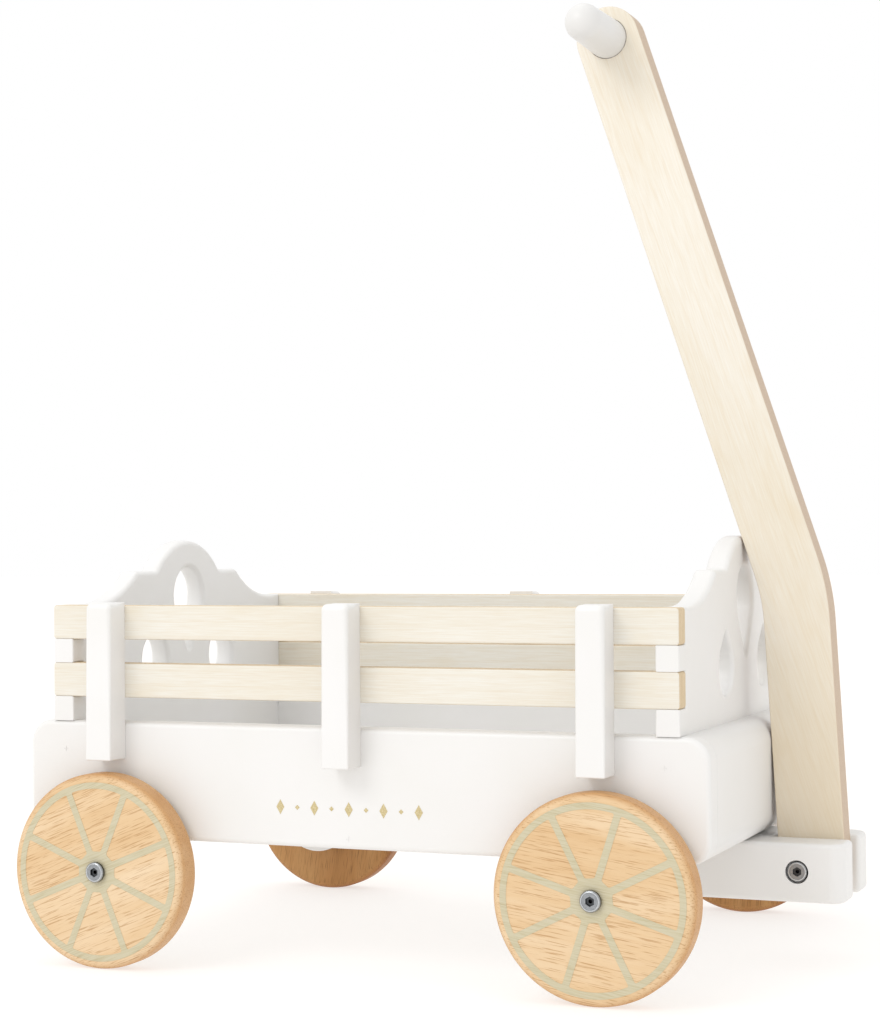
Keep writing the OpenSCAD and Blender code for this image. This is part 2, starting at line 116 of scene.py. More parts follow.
# %% Studio
scene = bpy.context.scene
scene.view_settings.view_transform = "Standard"
sky = bpy.data.worlds.new("studio_sky")
sky.use_nodes = True
sky.node_tree.nodes["Background"].inputs["Color"].default_value = (1.0, 1.0, 1.0, 1)
sky.node_tree.nodes["Background"].inputs["Strength"].default_value = 1.0
scene.world = sky


def softbox(name, at, aim, size, watts, tint=(1, 1, 1)):
    lamp = bpy.data.lights.new(name, "AREA")
    lamp.shape = "RECTANGLE"
    lamp.size, lamp.size_y = size
    lamp.energy = watts
    lamp.color = tint
    box = bpy.data.objects.new(name, lamp)
    box.location = at
    box.rotation_mode = "QUATERNION"
    box.rotation_quaternion = (Vector(aim) - Vector(at)).to_track_quat("-Z", "Y")
    scene.collection.objects.link(box)
    return box


softbox("key_softbox", (-0.8, -2.0, 1.8), (0, 0, 0.15), (1.2, 1.0), 15)
softbox("top_softbox", (-0.3, 0.1, 2.2), (0, 0, 0.1), (1.4, 1.4), 4)
bm = bmesh.new()
bmesh.ops.create_grid(bm, x_segments=1, y_segments=1, size=14.0)
floor_mesh = bpy.data.meshes.new("studio_floor")
bm.to_mesh(floor_mesh)
bm.free()
studio_floor = bpy.data.objects.new("studio_floor", floor_mesh)
scene.collection.objects.link(studio_floor)
print("lights", len(bpy.data.lights))

# %% [markdown]
# ## Colour and node helpers
# Paint and wood colours are written as the hex values a paint card shows, and
# one function turns them to the linear numbers a shader needs. One more
# function adds a node, sets it and links it.

# %% Helpers for materials


def linear(hex_code):
    parts = [int(hex_code[i:i + 2], 16) / 255 for i in (1, 3, 5)]
    return [c / 12.92 if c <= 0.04045 else ((c + 0.055) / 1.055) ** 2.4 for c in parts] + [1]


def add(tree, kind, settings=None, inputs=None):
    n = tree.nodes.new(kind)
    for key, value in (settings or {}).items():
        setattr(n, key, value)
    for key, value in (inputs or {}).items():
        if isinstance(value, bpy.types.NodeSocket):
            tree.links.new(value, n.inputs[key])
        else:
            n.inputs[key].default_value = value
    return n


def ramp(tree, fac, stops, interpolation="LINEAR"):
    n = add(tree, "ShaderNodeValToRGB", inputs={"Fac": fac})
    n.color_ramp.interpolation = interpolation
    while len(n.color_ramp.elements) < len(stops):
        n.color_ramp.elements.new(0.5)
    for e, (pos, col) in zip(n.color_ramp.elements, stops):
        e.position = pos
        e.color = linear(col) if isinstance(col, str) else (col, col, col, 1)
    return n.outputs["Color"]


def new_material(name):
    m = bpy.data.materials.new(name)
    m.use_nodes = True
    m.node_tree.nodes.clear()
    shader = add(m.node_tree, "ShaderNodeBsdfPrincipled")
    out = add(m.node_tree, "ShaderNodeOutputMaterial")
    m.node_tree.links.new(shader.outputs["BSDF"], out.inputs["Surface"])
    coords = add(m.node_tree, "ShaderNodeTexCoord")
    return m, m.node_tree, shader, coords


# %% [markdown]
# ## Satin white paint
# The boards are solid wood sprayed with a water-based satin enamel. It gives
# an even warm white, a soft sheen that breaks up slightly, and a faint
# orange-peel with the grain just telegraphing through.

# %% White paint


def satin_enamel(name, grain, base="#E8E7E6", shade="#E5E4E1"):
    m, t, shader, coords = new_material(name)
    at = coords.outputs["Object"]
    cloud = add(t, "ShaderNodeTexNoise", inputs={"Vector": at, "Scale": 14.0, "Detail": 3.0})
    tone = ramp(t, cloud.outputs["Fac"], [(0.3, base), (0.75, shade)])
    t.links.new(tone, shader.inputs["Base Color"])
    sheen = add(t, "ShaderNodeTexNoise", inputs={"Vector": at, "Scale": 90.0, "Detail": 4.0})
    rough = add(t, "ShaderNodeMapRange", inputs={
        "Value": sheen.outputs["Fac"], "To Min": 0.36, "To Max": 0.5})
    t.links.new(rough.outputs["Result"], shader.inputs["Roughness"])
    # grain lines about 1.5 mm apart, stretched along the board
    along = add(t, "ShaderNodeMapping", inputs={"Vector": at, "Scale": grain})
    lines = add(t, "ShaderNodeTexNoise", inputs={
        "Vector": along.outputs["Vector"], "Scale": 1.0, "Detail": 4.0})
    peel = add(t, "ShaderNodeTexNoise", inputs={"Vector": at, "Scale": 900.0, "Detail": 1.0})
    both = add(t, "ShaderNodeMath", {"operation": "MULTIPLY_ADD"})
    t.links.new(lines.outputs["Fac"], both.inputs[0])
    both.inputs[1].default_value = 1.6
    t.links.new(peel.outputs["Fac"], both.inputs[2])
    bump = add(t, "ShaderNodeBump", inputs={
        "Height": both.outputs["Value"], "Strength": 0.06, "Distance": 0.0003})
    t.links.new(bump.outputs["Normal"], shader.inputs["Normal"])
    shader.inputs["IOR"].default_value = 1.5
    shader.inputs["Coat Weight"].default_value = 0.12
    shader.inputs["Coat Roughness"].default_value = 0.3
    return m


white_long = satin_enamel("satin_enamel_long_boards", (25, 500, 500))
white_cross = satin_enamel("satin_enamel_cross_boards", (500, 25, 500))
white_post = satin_enamel("satin_enamel_posts", (500, 500, 25))
# painted shade: the peg gets a slightly darker copy of the white paint, because the lamps light it more
# than the boards
white_peg_shaded = satin_enamel("satin_enamel_turned_peg", (500, 25, 500), "#DFDEDC", "#DBDAD8")
print("white paints made")

# %% [markdown]
# ## Birch plywood
# Rails and handle are lacquered birch plywood. The eye sees a pale cream face
# with hair-fine fibres along the grain, a very faint arched figure and a few
# tan smudges; a cut edge is darker and shows the plies, stacked through the
# thickness, which is Y here.

# %% Birch plywood


def mixed(t, kind, factor, a, b):
    n = add(t, "ShaderNodeMix", {"data_type": "RGBA", "blend_type": kind})
    for socket, value in (("Factor", factor), ("A", a), ("B", b)):
        if isinstance(value, bpy.types.NodeSocket):
            t.links.new(value, n.inputs[socket])
        elif isinstance(value, str):
            n.inputs[socket].default_value = linear(value)
        else:
            n.inputs[socket].default_value = value
    return n.outputs["Result"]


def noise(t, at, scale, detail=2.0, rough=0.5):
    """Noise whose cells are 1 / scale metres along each axis."""
    along = add(t, "ShaderNodeMapping", inputs={"Vector": at, "Scale": scale})
    n = add(t, "ShaderNodeTexNoise", inputs={
        "Vector": along.outputs["Vector"], "Scale": 1.0, "Detail": detail, "Roughness": rough})
    return n.outputs["Fac"]


def birch_plywood(name, lean, ply, first, pale, mid, tan, edge, figure_size, figure, foot_shade_strength):
    m, t, shader, coords = new_material(name)
    at = coords.outputs["Object"]
    # turn the figure so that it runs along the part
    turned = add(t, "ShaderNodeMapping", inputs={"Vector": at, "Rotation": (0, lean, 0)})
    along = turned.outputs["Vector"]
    cloud = noise(t, along, (7, 22, 22), 2.0)
    face = ramp(t, cloud, [(0.35, pale), (0.7, mid)])
    # fibres 0.4 mm wide and 20 mm long
    fibre = noise(t, along, (50, 900, 1200), 3.0, 0.6)
    face = mixed(t, "MULTIPLY", 0.5, face, ramp(t, fibre, [(0.35, "#FFFFFF"), (0.75, "#F1E6D4")]))
    # broad arches of the peeled veneer, barely darker than the ground
    swell = add(t, "ShaderNodeMapping", inputs={"Vector": along, "Scale": figure_size})
    arches = add(t, "ShaderNodeTexWave", {"wave_type": "RINGS", "rings_direction": "Y"}, {
        "Vector": swell.outputs["Vector"], "Scale": 1.1, "Distortion": 4.0,
        "Detail": 1.0, "Detail Scale": 0.7})
    lines = ramp(t, arches.outputs["Fac"], [(0.0, "#EFE0C6"), (0.1, "#FFFFFF"), (1.0, "#FFFFFF")])
    face = mixed(t, "MULTIPLY", figure, face, lines)
    smudge = ramp(t, noise(t, along, (22, 40, 40), 1.0), [(0.6, 0.0), (0.8, 0.4)])
    face = mixed(t, "MIX", smudge, face, tan)
    # painted shade: the foot of the handle, low beside the body, is mixed towards tan, darker and
    # warmer towards the bottom
    place = add(t, "ShaderNodeSeparateXYZ", inputs={"Vector": at})
    foot_shade = add(t, "ShaderNodeMapRange", inputs={
        "Value": place.outputs["Z"], "From Min": 0.06, "From Max": 0.3,
        "To Min": foot_shade_strength, "To Max": 0.0})
    face = mixed(t, "MIX", foot_shade.outputs["Result"], face, tan)
    # ply lines from the depth into the sheet
    depth = add(t, "ShaderNodeMath", {"operation": "SUBTRACT"})
    t.links.new(place.outputs["Y"], depth.inputs[0])
    depth.inputs[1].default_value = first
    count = add(t, "ShaderNodeMath", {"operation": "DIVIDE"})
    t.links.new(depth.outputs["Value"], count.inputs[0])
    count.inputs[1].default_value = 2 * ply
    part = add(t, "ShaderNodeMath", {"operation": "FRACT"})
    t.links.new(count.outputs["Value"], part.inputs[0])
    plies = ramp(t, part.outputs["Value"], [(0.0, edge[0]), (0.06, edge[0]), (0.12, edge[1]),
                                            (0.44, edge[1]), (0.5, edge[0]), (0.56, edge[2]),
                                            (0.97, edge[2])])
    # end grain breaks the plies into short dashes
    grit = ramp(t, noise(t, at, (500, 2500, 500)), [(0.3, "#E6DACB"), (0.65, "#FFFFFF")])
    plies = mixed(t, "MULTIPLY", 0.5, plies, grit)
    across = add(t, "ShaderNodeSeparateXYZ", inputs={"Vector": coords.outputs["Normal"]})
    flat = add(t, "ShaderNodeMath", {"operation": "ABSOLUTE"})
    t.links.new(across.outputs["Y"], flat.inputs[0])
    cut = ramp(t, flat.outputs["Value"], [(0.45, 1.0), (0.7, 0.0)])
    wood = mixed(t, "MIX", cut, face, plies)
    t.links.new(wood, shader.inputs["Base Color"])
    rough = add(t, "ShaderNodeMapRange", inputs={"Value": fibre, "To Min": 0.42, "To Max": 0.56})
    t.links.new(rough.outputs["Result"], shader.inputs["Roughness"])
    bump = add(t, "ShaderNodeBump", inputs={
        "Height": fibre, "Strength": 0.12, "Distance": 0.0002})
    t.links.new(bump.outputs["Normal"], shader.inputs["Normal"])
    shader.inputs["IOR"].default_value = 1.5
    return m


# the length runs along X for a rail; the handle leans back from upright
birch_rail = birch_plywood("birch_plywood_rails", 0.0, 1.44 * MM, half_w, "#E6E3DA", "#E2DCCE",
                           "#DBCDB0", ("#B29270", "#E4D3B2", "#D6C19C"), (2.2, 12, 30), 0.12, 0.0)
birch_handle = birch_plywood("birch_plywood_handle", math.radians(108.4), 1.5 * MM, 9 * MM,
                             "#E9E4D9", "#E4DCCB", "#DCC8A6", ("#B39B82", "#D2BEA6", "#C5AF98"),
                             (4.5, 20, 30), 0.12, 0.5)
print("plywood made")

# %% [markdown]
# ## Rubberwood and the painted ring
# The wheels are cut from rubberwood: golden, with short dark pores that run
# with the grain; the two left wheels get darker tones as painted shade, since
# their inner faces are seen in the shade under the tray. The ring and
# spokes are a thin sage-gold paint printed on the face, so it is almost flat
# and lets a little of the grain through.

# %% Rubberwood and sage paint


def rubberwood(name, angle, pale="#E6CDAA", mid="#DDBD92", deep="#CFA673", pore_tone="#AD7F4C"):
    m, t, shader, coords = new_material(name)
    at = coords.outputs["Object"]
    turned = add(t, "ShaderNodeMapping", inputs={"Vector": at, "Rotation": (0, angle, 0)})
    along = turned.outputs["Vector"]
    tone = ramp(t, noise(t, along, (5, 30, 38), 3.0, 0.6), [(0.3, pale), (0.55, mid), (0.85, deep)])
    # pores about 0.4 mm wide and 8 mm long, lying along the grain
    pore = noise(t, along, (75, 1400, 1900), 2.0, 0.5)
    pores = ramp(t, pore, [(0.55, 0.0), (0.68, 0.7)])
    # longer darker streaks where a growth layer surfaces
    streak = noise(t, along, (30, 300, 420), 2.0)
    streaks = ramp(t, streak, [(0.55, 0.0), (0.72, 0.2)])
    wood = mixed(t, "MIX", streaks, tone, deep)
    wood = mixed(t, "MIX", pores, wood, pore_tone)
    # the rim cuts across the fibres, so it is deeper in tone
    across = add(t, "ShaderNodeSeparateXYZ", inputs={"Vector": coords.outputs["Normal"]})
    flat = add(t, "ShaderNodeMath", {"operation": "ABSOLUTE"})
    t.links.new(across.outputs["Y"], flat.inputs[0])
    rim = ramp(t, flat.outputs["Value"], [(0.45, "#E3C49C"), (0.96, "#FFFFFF")])
    t.links.new(mixed(t, "MULTIPLY", 0.75, wood, rim), shader.inputs["Base Color"])
    rough = add(t, "ShaderNodeMapRange", inputs={"Value": pore, "To Min": 0.42, "To Max": 0.6})
    t.links.new(rough.outputs["Result"], shader.inputs["Roughness"])
    bump = add(t, "ShaderNodeBump", inputs={
        "Height": pore, "Strength": 0.25, "Distance": -0.0003})
    t.links.new(bump.outputs["Normal"], shader.inputs["Normal"])
    shader.inputs["IOR"].default_value = 1.5
    return m


def sage_paint(name, angle):
    m, t, shader, coords = new_material(name)
    turned = add(t, "ShaderNodeMapping", inputs={
        "Vector": coords.outputs["Object"], "Rotation": (0, angle, 0)})
    pore = noise(t, turned.outputs["Vector"], (75, 1400, 1900), 2.0, 0.5)
    tone = ramp(t, pore, [(0.4, "#C9C1A6"), (0.58, "#C2B999"), (0.75, "#B5A886")])
    t.links.new(tone, shader.inputs["Base Color"])
    rough = add(t, "ShaderNodeMapRange", inputs={"Value": pore, "To Min": 0.4, "To Max": 0.55})
    t.links.new(rough.outputs["Result"], shader.inputs["Roughness"])
    bump = add(t, "ShaderNodeBump", inputs={
        "Height": pore, "Strength": 0.2, "Distance": -0.0002})
    t.links.new(bump.outputs["Normal"], shader.inputs["Normal"])
    shader.inputs["IOR"].default_value = 1.48
    return m


GRAIN = {"front_right": -8, "front_left": 85, "rear_right": 22, "rear_left": 82}
# painted shade: the left wheels are the far ones, seen from their inner faces under the tray, so their
# wood tones are darkened
FAR_WHEEL_SHADE_TONES = ("#BE9058", "#AE7B42", "#94652C", "#724B1E")
wheel_wood, wheel_sage = {}, {}
for corner, lean in GRAIN.items():
    far_wheel_shade = FAR_WHEEL_SHADE_TONES if corner.endswith("left") else ()
    wheel_wood[corner] = rubberwood("rubberwood_" + corner, math.radians(lean), *far_wheel_shade)
    wheel_sage[corner] = sage_paint("sage_gold_paint_" + corner, math.radians(lean))
print("wheel finishes made")

# %% [markdown]
# ## Zinc plate
# Bolts, nuts and screws are zinc-plated steel: bright, slightly blue and finely
# brushed by tumbling. Below the face of a bolt head the colour darkens with depth:
# painted shade in the socket, at the drill point and down the side of the head.
# The floor is a white acrylic sheet, lit a little from below so that shadows stay faint.

# %% Zinc and floor


def zinc_plate(name, face_y, base="#D2D5D7", low=0.2, high=0.38):
    m, t, shader, coords = new_material(name)
    grit = noise(t, coords.outputs["Object"], (1500, 1500, 1500), 3.0)
    tone = ramp(t, grit, [(0.3, base), (0.7, "#B4B7BA")])
    # how far below the face of the head, from 0 at the face to 1 at 2 mm, which the ramp below turns
    # into painted shade
    place = add(t, "ShaderNodeSeparateXYZ", inputs={"Vector": coords.outputs["Object"]})
    out = add(t, "ShaderNodeMath", {"operation": "ABSOLUTE"})
    t.links.new(place.outputs["Y"], out.inputs[0])
    deep = add(t, "ShaderNodeMapRange", inputs={
        "Value": out.outputs["Value"], "From Min": face_y, "From Max": face_y - 2 * MM})
    # painted shade: a thin dark band just under the face, then darker with depth, near black at the
    # bottom of the socket
    shade = ramp(t, deep.outputs["Result"], [
        (0.0, "#FFFFFF"), (0.07, "#F2F2F2"), (0.12, "#BFC1C4"), (0.25, "#DCDDDF"),
        (0.55, "#85878A"), (1.0, "#2A2A2C")])
    t.links.new(mixed(t, "MULTIPLY", 1.0, tone, shade), shader.inputs["Base Color"])
    rough = add(t, "ShaderNodeMapRange", inputs={"Value": grit, "To Min": low, "To Max": high})
    t.links.new(rough.outputs["Result"], shader.inputs["Roughness"])
    shader.inputs["Metallic"].default_value = 1.0
    return m


zinc = zinc_plate("zinc_plated_steel", 0.0)
zinc_axle = zinc_plate("zinc_plated_axle_bolts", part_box("axle_bolt_front_left")[1].y)
zinc_pivot = zinc_plate("zinc_plated_pivot", -bolt_lo.y, "#D0CDC9", 0.25, 0.4)
m, t, shader, coords = new_material("pale_studio_floor")
shader.inputs["Base Color"].default_value = linear("#AEACAA")
shader.inputs["Emission Color"].default_value = linear("#FFFDFB")
shader.inputs["Emission Strength"].default_value = 0.64
shader.inputs["Roughness"].default_value = 0.9
shader.inputs["Specular IOR Level"].default_value = 0.1
studio_floor.data.materials.append(m)
print("zinc made")

# %% [markdown]
# ## Outlines and plates
# A joiner cuts boards from flat stock and runs a router round the edges. The
# helpers do the same: `arc` draws a piece of an outline, and `plate` walks the
# outline from one face to the other in rows, stepping inwards by a quarter
# round near each face. The radius may change along the outline.

# %% Outline helpers


def arc(cx, cz, r, start, stop, steps=12):
    out = []
    for i in range(steps + 1):
        a = math.radians(start + (stop - start) * i / steps)
        out.append((cx + r * math.cos(a), cz + r * math.sin(a)))
    return out


def tidy(points, near=1e-6):
    out = []
    for p in points:
        if not out or math.dist(p, out[-1]) > near:
            out.append(p)
    if math.dist(out[0], out[-1]) <= near:
        out.pop()
    return out


def inward(points):
    """How far to step at each point so that both neighbouring edges move in by one."""
    out = []
    for i, p in enumerate(points):
        before = (Vector(p) - Vector(points[i - 1])).normalized()
        after = (Vector(points[(i + 1) % len(points)]) - Vector(p)).normalized()
        n1, n2 = Vector((-before.y, before.x)), Vector((-after.y, after.x))
        out.append((n1 + n2) / max(1 + n1.dot(n2), 0.3))
    return out


PLANES = {
    "xz": lambda a, b, d: (a, d, b),
    "yz": lambda a, b, d: (d, a, b),
    "xy": lambda a, b, d: (a, b, d),
}


def plate(loops, plane, near, far, round_near=0.0, round_far=0.0, steps=4):
    """A board from its outline and cut-outs, with both faces' edges rounded over.

    round_near and round_far are lengths, or functions of a point of the outline.
    """
    bm = bmesh.new()
    index = bm.verts.layers.int.new("place")
    place = PLANES[plane]
    sign = 1 if far > near else -1
    spots, steps_in = [], []
    rim = []
    for k, points in enumerate(loops):
        points = tidy(points)
        area = sum(points[i - 1][0] * p[1] - p[0] * points[i - 1][1] for i, p in enumerate(points))
        if (area > 0) != (k == 0):
            points.reverse()
        first = len(spots)
        spots += points
        steps_in += inward(points)
        vs = [bm.verts.new((0, 0, 0)) for _ in points]
        for i, v in enumerate(vs):
            v[index] = first + i
        rim += [bm.edges.new((vs[i - 1], vs[i])) for i in range(len(vs))]

    def width(rounding, p):
        return rounding(p) if callable(rounding) else rounding

    def set_row(edges, rounding, angle, face, way):
        for v in {v for e in edges for v in e.verts}:
            p = spots[v[index]]
            w = width(rounding, p)
            step = steps_in[v[index]] * w * (1 - math.cos(angle))
            v.co = place(p[0] + step.x, p[1] + step.y, face + way * w * (1 - math.sin(angle)))

    turn_in = [math.pi / 2 * (1 - i / steps) for i in range(steps + 1)] if round_near else [0.0]
    turn_out = [math.pi / 2 * i / steps for i in range(steps + 1)] if round_far else [0.0]
    rows = [(round_near, a, near, sign) for a in turn_in]
    rows += [(round_far, a, far, -sign) for a in turn_out]
    set_row(rim, *rows[0])
    edges = rim
    for row in rows[1:]:
        made = bmesh.ops.extrude_edge_only(bm, edges=edges)
        fresh = {g for g in made["geom"] if isinstance(g, bmesh.types.BMVert)}
        edges = [g for g in made["geom"] if isinstance(g, bmesh.types.BMEdge)
                 and g.verts[0] in fresh and g.verts[1] in fresh]
        set_row(edges, *row)
    for ring in (rim, edges):
        bmesh.ops.triangle_fill(bm, edges=ring, use_beauty=True)
    bm.verts.layers.int.remove(index)
    bmesh.ops.recalc_face_normals(bm, faces=bm.faces[:])
    return bm


def finish_piece(bm, name, material, body, stands_for=(), crease=32):
    """Turns a bmesh into a piece that rides on a body and stands for CAD nodes."""
    bmesh.ops.remove_doubles(bm, verts=bm.verts[:], dist=1e-7)
    mesh = bpy.data.meshes.new(name)
    bm.to_mesh(mesh)
    bm.free()
    mesh.materials.append(material)
    mesh.shade_smooth()
    mesh.set_sharp_from_angle(angle=math.radians(crease))
    piece = bpy.data.objects.new(name, mesh)
    scene.collection.objects.link(piece)
    even = piece.modifiers.new("even_normals", "WEIGHTED_NORMAL")
    even.mode = "FACE_AREA"
    even.keep_sharp = True
    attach(piece, body)
    if stands_for:
        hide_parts(*stands_for)
    print(name, len(mesh.polygons), "faces")
    return piece


# %% [markdown]
# ## Carving
# A recess such as a bolt pocket is easiest to cut with a boolean. The cutter
# is used once and removed, so the finished piece is a plain mesh.

# %% Carving helper


def carve(bm, cutters):
    """Subtracts each cutter bmesh from bm and returns the new bmesh."""
    def holder(name, b):
        me = bpy.data.meshes.new(name)
        b.to_mesh(me)
        b.free()
        ob = bpy.data.objects.new(name, me)
        scene.collection.objects.link(ob)
        return ob

    stock = holder("stock", bm)
    tools = [holder("tool", c) for c in cutters]
    for tool in tools:
        cut = stock.modifiers.new("cut", "BOOLEAN")
        cut.operation, cut.solver, cut.object = "DIFFERENCE", "EXACT", tool
    bpy.context.view_layer.update()
    done = bpy.data.meshes.new_from_object(
        stock.evaluated_get(bpy.context.evaluated_depsgraph_get()))
    out = bmesh.new()
    out.from_mesh(done)
    for ob in [stock] + tools:
        me = ob.data
        bpy.data.objects.remove(ob)
        bpy.data.meshes.remove(me)
    bpy.data.meshes.remove(done)
    return out


def rod(at, axis, r0, r1, length, sides=48):
    """A cone or cylinder that starts at a point and runs along an axis."""
    bm = bmesh.new()
    bmesh.ops.create_cone(bm, cap_ends=True, segments=sides, radius1=r0, radius2=r1, depth=length)
    bmesh.ops.translate(bm, verts=bm.verts[:], vec=(0, 0, length / 2))
    face = Vector(axis).to_track_quat("Z", "Y").to_matrix()
    bmesh.ops.rotate(bm, verts=bm.verts[:], cent=(0, 0, 0), matrix=face)
    bmesh.ops.translate(bm, verts=bm.verts[:], vec=at)
    return bm


# %% [markdown]
# ## Side boards
# Each side is one board with rounded corners and two round lugs that carry the
# axles. The outer edge is rounded over, the inner edge only broken.

# %% Side boards
LUG = 28.8 * MM
CORNER = 14 * MM
axle_front, _, _ = wheel_centre("front_right")
axle_rear, _, _ = wheel_centre("rear_right")
reach = math.degrees(math.asin((board_z - axle_rear.z) / LUG))


def side_outline():
    x0, x1, z0, z1 = side_lo.x, side_hi.x, board_z, top_z
    pts = arc(x0 + CORNER, z0 + CORNER, CORNER, 180, 270)
    for c in (axle_rear, axle_front):
        pts += arc(c.x, c.z, LUG, 180 - reach, 360 + reach, 48)
    pts += arc(x1 - CORNER, z0 + CORNER, CORNER, 270, 360)
    pts += arc(x1 - CORNER, z1 - CORNER, CORNER, 0, 90)
    pts += arc(x0 + CORNER, z1 - CORNER, CORNER, 90, 180)
    return pts


def screw_spots(side, radius=4 * MM):
    """The two high and the one low screw of a side board."""
    lo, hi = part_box("side_screws_" + side)
    return [(lo.x + radius, hi.z - radius), (hi.x - radius, hi.z - radius),
            ((lo.x + hi.x) / 2, lo.z + radius)]


for side, s in (("right", -1), ("left", 1)):
    y_out, y_in = s * half_w, s * (half_w - board_t)
    bm = plate([side_outline()], "xz", y_out, y_in, 3 * MM, 0.6 * MM)
    pockets = [rod((x, y_out - s * 2 * MM, z), (0, s, 0), 2.02 * MM, 4.27 * MM, 2.25 * MM, 32)
               for x, z in screw_spots(side)]
    bm = carve(bm, pockets)
    finish_piece(bm, "side_board_" + side + "_sanded", white_long, "frame",
                 ["side_board_" + side])

# %% [markdown]
# ## End blocks
# The block at each end fills the gap between the sides, flush with their
# corners, so the same radius runs across the whole width.

# %% End blocks
for end in ("front", "rear"):
    lo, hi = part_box(end + "_end_block")
    f = 1 if end == "front" else -1
    outer, inner = (hi.x, lo.x) if f > 0 else (lo.x, hi.x)
    if f > 0:
        pts = [(inner, lo.z)] + arc(outer - CORNER, lo.z + CORNER, CORNER, 270, 360, 14)
        pts += arc(outer - CORNER, hi.z - CORNER, CORNER, 0, 90, 14) + [(inner, hi.z)]
    else:
        pts = [(inner, lo.z), (inner, hi.z)] + arc(outer + CORNER, hi.z - CORNER, CORNER, 90, 180, 14)
        pts += arc(outer + CORNER, lo.z + CORNER, CORNER, 180, 270, 14)
    bm = plate([pts], "xz", lo.y, hi.y, 0.4 * MM, 0.4 * MM, 2)
    finish_piece(bm, end + "_end_block_sanded", white_cross, "frame",
                 [end + "_end_block"])

# %% [markdown]
# ## Arched end boards
# The outline is drawn from the middle: a round arch, a short flat shoulder, a
# hollow sweep down to the rail and two notches that the rails pass through.
# Three teardrops are cut out of each board and every edge is rounded.

# %% End boards
rail_z, slat2_z = slat_hi.z, slat_lo.z
slat1_z, slat1_top = low_lo.z, low_hi.z
slat_y = half_w - (slat_hi.y - slat_lo.y)
in_y = half_w - board_t
arch_top = end_hi.z
shoulder = rail_z + 19.9 * MM
arch_half, rise = 43.5 * MM, arch_top - shoulder
arch_r = (arch_half ** 2 + rise ** 2) / (2 * rise)
arch_c = arch_top - arch_r
NOSE, sweep_y, flat_y = 5 * MM, in_y - 9 * MM, 67.7 * MM
nose_z = shoulder - NOSE
run, lift = sweep_y - flat_y, nose_z - rail_z
sweep_r = (run ** 2 + lift ** 2 - NOSE ** 2) / (2 * (lift + NOSE))
sweep_z = rail_z + sweep_r
FILLET = 5 * MM
fil_z = shoulder + FILLET
fil_y = math.sqrt((arch_r + FILLET) ** 2 - (fil_z - arch_c) ** 2)


def half_outline():
    toward = math.degrees(math.atan2(sweep_z - nose_z, sweep_y - flat_y))
    pts = [(in_y, end_lo.z), (in_y, top_z), (half_w, top_z), (half_w, slat1_z),
           (slat_y, slat1_z), (slat_y, slat1_top), (half_w, slat1_top), (half_w, slat2_z),
           (slat_y, slat2_z), (slat_y, rail_z)]
    pts += arc(sweep_y, sweep_z, sweep_r, 270, 180 + toward, 14)
    pts += arc(flat_y, nose_z, NOSE, toward, 90, 6)
    lean = math.degrees(math.atan2(fil_z - arch_c, fil_y))
    pts += arc(fil_y, fil_z, FILLET, 270, 180 + lean, 6)
    pts += arc(0, arch_c, arch_r, lean, 90, 18)
    return pts


def teardrop(cy, cz, r, length, up, tip_r=2.6 * MM):
    """A drop whose straight sides run from the big circle to a small one at the tip."""
    d = length - r
    a = math.degrees(math.asin(r / d))
    small = d - tip_r / math.sin(math.radians(a))
    pts = arc(0, small, tip_r, a, 180 - a, 12) + arc(0, 0, r, 180 - a, 360 + a, 44)
    return [(cy + y, cz + (z if up else -z)) for y, z in pts]


def board_round(p):
    """Well rounded above the rails, lightly at the rail tabs, only eased inside the body."""
    if p[1] > rail_z + 1 * MM:
        return 3.4 * MM
    if p[1] > top_z + 1 * MM:
        return 1.2 * MM if abs(p[0]) > slat_y - 1 * MM else 3 * MM
    return 0.4 * MM


right_half = half_outline()
whole = right_half + [(-y, z) for y, z in reversed(right_half)]
mid_drop = teardrop(0, rail_z + 2 * MM, 19.5 * MM, 58 * MM, False)
drops = [teardrop(s * 46 * MM, slat1_z + 17.5 * MM, 16.5 * MM, 40 * MM, True) for s in (-1, 1)]
for end in ("front", "rear"):
    lo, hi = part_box("end_board_" + end)
    bm = plate([whole, mid_drop] + drops, "yz", lo.x, hi.x, board_round, board_round)
    finish_piece(bm, "end_board_" + end + "_sanded", white_cross, "frame",
                 ["end_board_" + end])

# %% [markdown]
# ## Floor, rails and posts
# The floor panel is a plain board whose edges never show, so its CAD solid
# stays. The rails are plywood strips with barely eased edges; the posts are
# painted blocks with a rounded top and a crisp foot.

# %% Rails and posts
nodes["floor_panel"].material_slots[0].material = white_long


def corners(x0, x1, z0, z1, r, steps=4):
    return (arc(x0 + r, z0 + r, r, 180, 270, steps) + arc(x1 - r, z0 + r, r, 270, 360, steps)
            + arc(x1 - r, z1 - r, r, 0, 90, steps) + arc(x0 + r, z1 - r, r, 90, 180, steps))


for side in ("right", "left"):
    for level_name in ("upper", "lower"):
        lo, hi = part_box("slat_" + side + "_" + level_name)
        bm = plate([corners(lo.x, hi.x, lo.z, hi.z, 1.8 * MM)], "xz", lo.y, hi.y,
                   0.9 * MM, 0.9 * MM, 3)
        finish_piece(bm, "rail_" + side + "_" + level_name, birch_rail, "frame",
                     ["slat_" + side + "_" + level_name])

